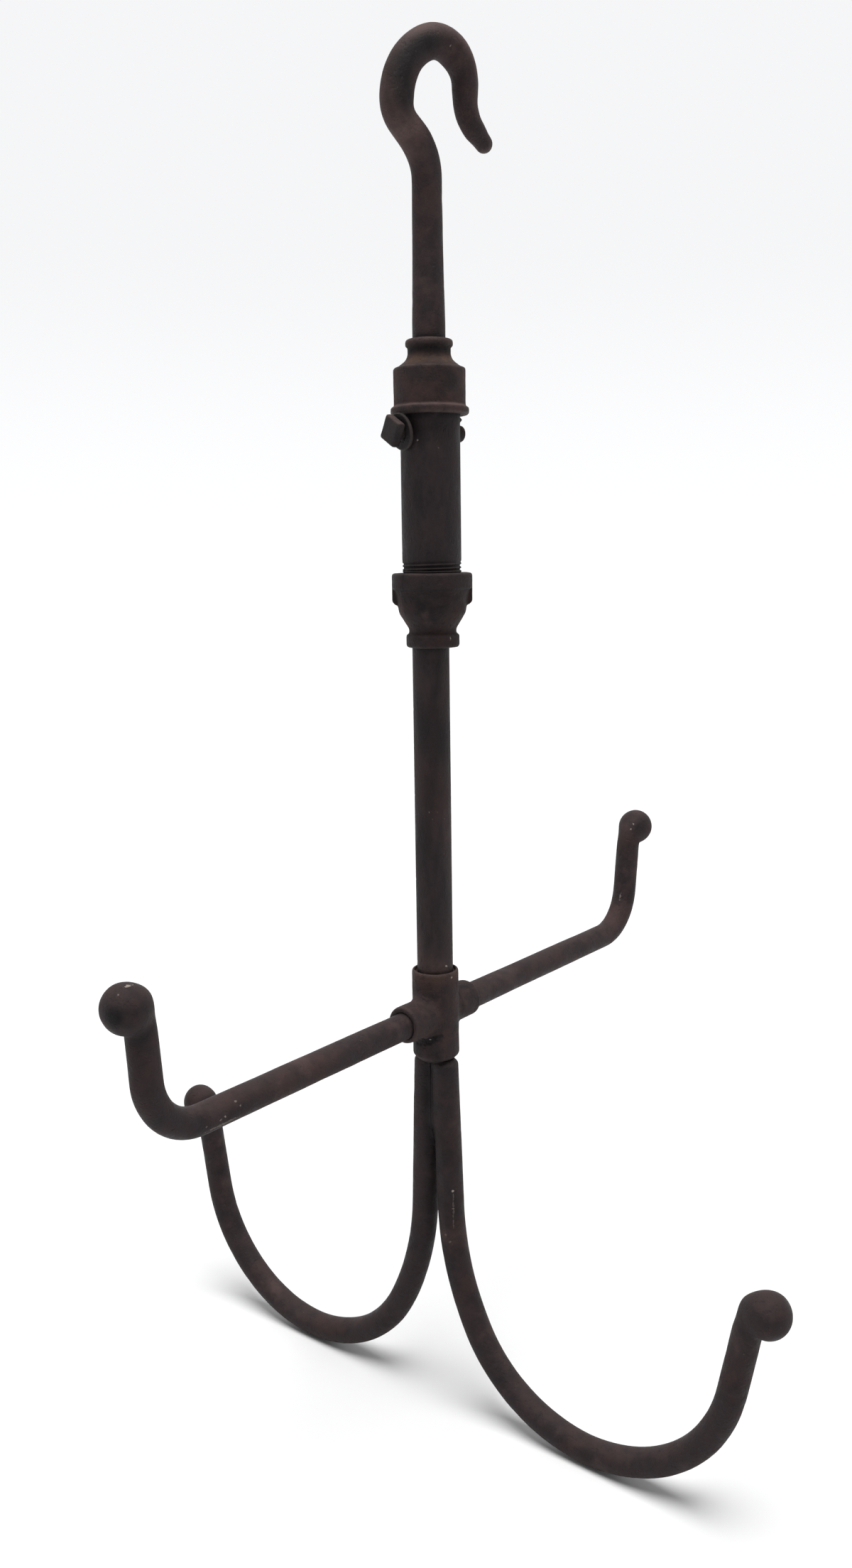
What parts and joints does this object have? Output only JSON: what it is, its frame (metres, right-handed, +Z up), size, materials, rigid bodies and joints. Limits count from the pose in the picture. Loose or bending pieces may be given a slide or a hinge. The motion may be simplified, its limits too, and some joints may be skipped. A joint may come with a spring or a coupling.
{
  "type": "swivelling four-arm tack hook",
  "caption": "Hanging iron tack hook: forged top hook on a swivel, pipe stem, two level arms and two drooping arms with ball ends.",
  "frame": {"origin": "the spot on the inside of the top hook's crown that lies on the swivel axis, where the part hangs", "axes": "+Z up along the swivel axis and stem; X along the two upper arms, the left one at -X; Y along the two lower arms, the near one at -Y"},
  "size_m": [0.4953, 0.4538, 0.8023],
  "materials": {
    "forged_iron": "forged bar, dark brown-black oxide, satin with rust tint",
    "pipe_iron": "drawn pipe, dark brown-black oxide, fine rust tint",
    "cast_fitting": "sand-cast malleable iron, matte, brown-black",
    "cast_cap": "sand-cast malleable iron, matte, warmer rust on the flare",
    "bolt_iron": "old forged hardware, dark oxide, worn edges",
    "plain_steel": "greased plain steel, hidden inside the swivel"
  },
  "bodies": {
    "hanger": {"top_hook": "forged_iron", "thrust_washer": "plain_steel", "swivel_nut": "plain_steel", "cotter_pin": "plain_steel"},
    "carrier": {"swivel_cap": "cast_cap", "barrel_pipe": "pipe_iron", "cross_bolt": "bolt_iron", "bolt_washer": "bolt_iron", "bell_reducer": "cast_fitting", "stem_pipe": "pipe_iron", "cross_fitting": "cast_fitting", "upper_arm_left": "forged_iron", "upper_arm_right": "forged_iron", "lower_arm_plug": "cast_fitting", "lower_arm_near": "forged_iron", "lower_arm_far": "forged_iron"}
  },
  "joints": [
    {"name": "swivel", "type": "hinge", "parent": "hanger", "child": "carrier", "pos_m": [0, 0, -0.1575], "axis": [0, 0, 1], "continuous": true}
  ]
}
